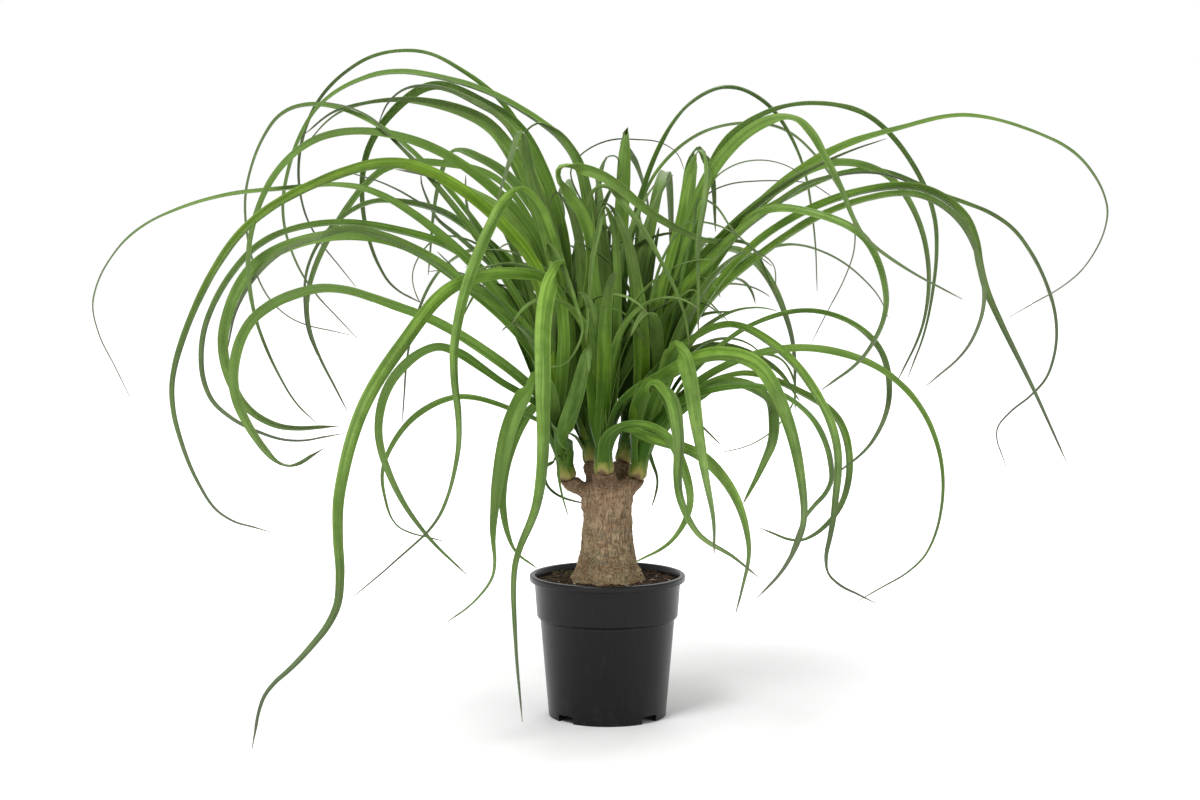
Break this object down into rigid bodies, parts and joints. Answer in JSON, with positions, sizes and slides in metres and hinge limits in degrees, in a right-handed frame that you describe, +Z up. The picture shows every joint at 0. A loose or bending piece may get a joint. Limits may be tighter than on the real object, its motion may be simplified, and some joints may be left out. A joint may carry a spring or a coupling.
{
  "type": "potted ponytail palm",
  "caption": "Ponytail palm with a swollen bark trunk and a crown of long arching strap leaves, standing in a plain round dark nursery pot filled with soil.",
  "frame": {"origin": "centre of the pot's foot on the surface it stands on, under the middle of the crown's spread", "axes": "+Z up along the trunk, +X to the right of the plant's front, -Y towards the viewer of the front"},
  "size_m": [0.8424, 0.5322, 0.5586],
  "materials": {
    "pot_plastic": "satin black recycled plastic, thin and slightly scuffed",
    "soil": "dark crumbly potting mix with bark and perlite specks",
    "bark": "grey-brown fissured bark with small corky plates",
    "sheath": "pale yellow-green leaf sheaths, smooth and slightly waxy",
    "leaf": "mid-green strap leaf with fine parallel veins, satin"
  },
  "bodies": {
    "root": {"leaf_back_left_high": "leaf", "leaf_back_left_wide": "leaf", "leaf_back_mid": "leaf", "leaf_back_right_high": "leaf", "leaf_back_right_low": "leaf", "leaf_back_right_wide": "leaf", "leaf_back_round_right": "leaf", "leaf_back_thin_right": "leaf", "leaf_cross_over": "leaf", "leaf_front_blade": "leaf", "leaf_front_curl_in": "leaf", "leaf_front_drop_right": "leaf", "leaf_front_fold_left": "leaf", "leaf_front_fold_right": "leaf", "leaf_front_left_drop": "leaf", "leaf_front_left_long": "leaf", "leaf_front_low_right": "leaf", "leaf_left_back_loop": "leaf", "leaf_left_dark_arch": "leaf", "leaf_left_far_arch": "leaf", "leaf_left_flat_tip": "leaf", "leaf_left_hook": "leaf", "leaf_left_inner_arch": "leaf", "leaf_left_kinked": "leaf", "leaf_left_low_loop": "leaf", "leaf_left_short_dark": "leaf", "leaf_left_wide_arch": "leaf", "leaf_low_left_behind": "leaf", "leaf_low_left_dark": "leaf", "leaf_low_left_thin": "leaf", "leaf_low_left_twist": "leaf", "leaf_right_behind_fall": "leaf", "leaf_right_branch": "leaf", "leaf_right_broad_drop": "leaf", "leaf_right_curl_in": "leaf", "leaf_right_dark_drop": "leaf", "leaf_right_far_loop": "leaf", "leaf_right_front_fall": "leaf", "leaf_right_inner_bow": "leaf", "leaf_right_long_fall": "leaf", "leaf_right_low_arch": "leaf", "leaf_right_short_hook": "leaf", "leaf_right_tall_arch": "leaf", "leaf_right_thin_far": "leaf", "leaf_right_twist": "leaf", "leaf_right_wide_fall": "leaf", "leaf_top_arch_left": "leaf", "leaf_top_arch_right": "leaf", "leaf_top_back_left": "leaf", "leaf_top_broad_left": "leaf", "leaf_upright_back": "leaf", "leaf_upright_right": "leaf", "nursery_pot": "pot_plastic", "potting_soil": "soil", "shoot_back_left": "sheath", "shoot_back_right": "sheath", "shoot_front": "sheath", "shoot_left": "sheath", "shoot_right": "sheath", "trunk": "bark"}
  },
  "joints": []
}
